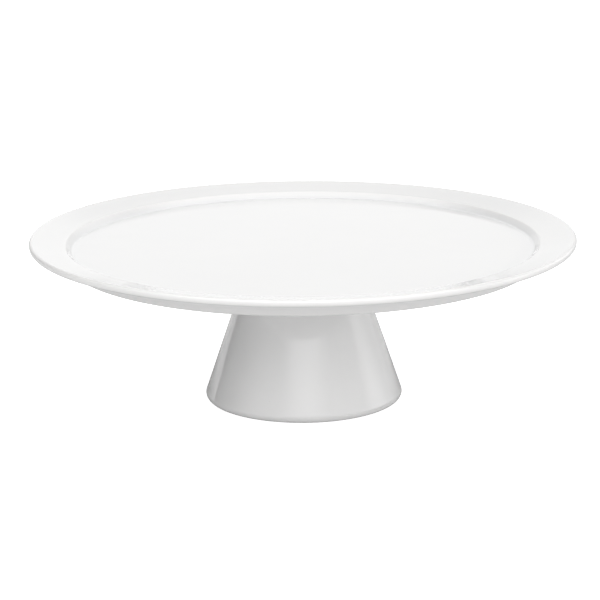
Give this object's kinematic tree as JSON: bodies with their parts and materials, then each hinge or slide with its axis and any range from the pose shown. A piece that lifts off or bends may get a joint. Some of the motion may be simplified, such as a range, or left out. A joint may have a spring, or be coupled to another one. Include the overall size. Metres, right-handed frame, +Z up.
{
  "type": "cake stand",
  "caption": "Glazed porcelain pedestal cake stand: a round rimmed plate bolted to a hollow cone-shaped foot, with a wing nut inside.",
  "frame": {"origin": "on the stand's axis, on the table surface that the foot ring stands on", "axes": "+Z up along the stand's axis; -Y towards the viewer; the wing nut's wings point along +X and -X when it is tight"},
  "size_m": [0.305, 0.305, 0.0947],
  "materials": {
    "plate_glaze": "gloss",
    "pedestal_glaze": "gloss",
    "silicone": "matte",
    "black_rubber": "matte",
    "stud_steel": "gloss",
    "washer_steel": "gloss",
    "nut_steel": "gloss",
    "cement": "matte"
  },
  "bodies": {
    "pedestal": {"pedestal": "pedestal_glaze", "seat_gasket": "silicone"},
    "plate": {"plate": "plate_glaze", "threaded_stud": "stud_steel", "stud_cement": "cement"},
    "washers": {"rubber_washer": "black_rubber", "steel_washer": "washer_steel"},
    "wing_nut": {"wing_nut": "nut_steel"}
  },
  "joints": [
    {"name": "plate_lift", "type": "slide", "parent": "pedestal", "child": "plate", "axis": [0, 0, 1], "range_m": [0, 0.035]},
    {"name": "nut_travel", "type": "slide", "parent": "pedestal", "child": "washers", "axis": [0, 0, -1], "range_m": [0, 0.0125]},
    {"name": "nut_spin", "type": "hinge", "parent": "washers", "child": "wing_nut", "pos_m": [0, 0, 0.06], "axis": [0, 0, -1], "range_deg": [0, 3600]}
  ],
  "couplings": [
    {"joint": "nut_travel", "follows": "nut_spin", "m_per_rad": 0.00019894}
  ]
}
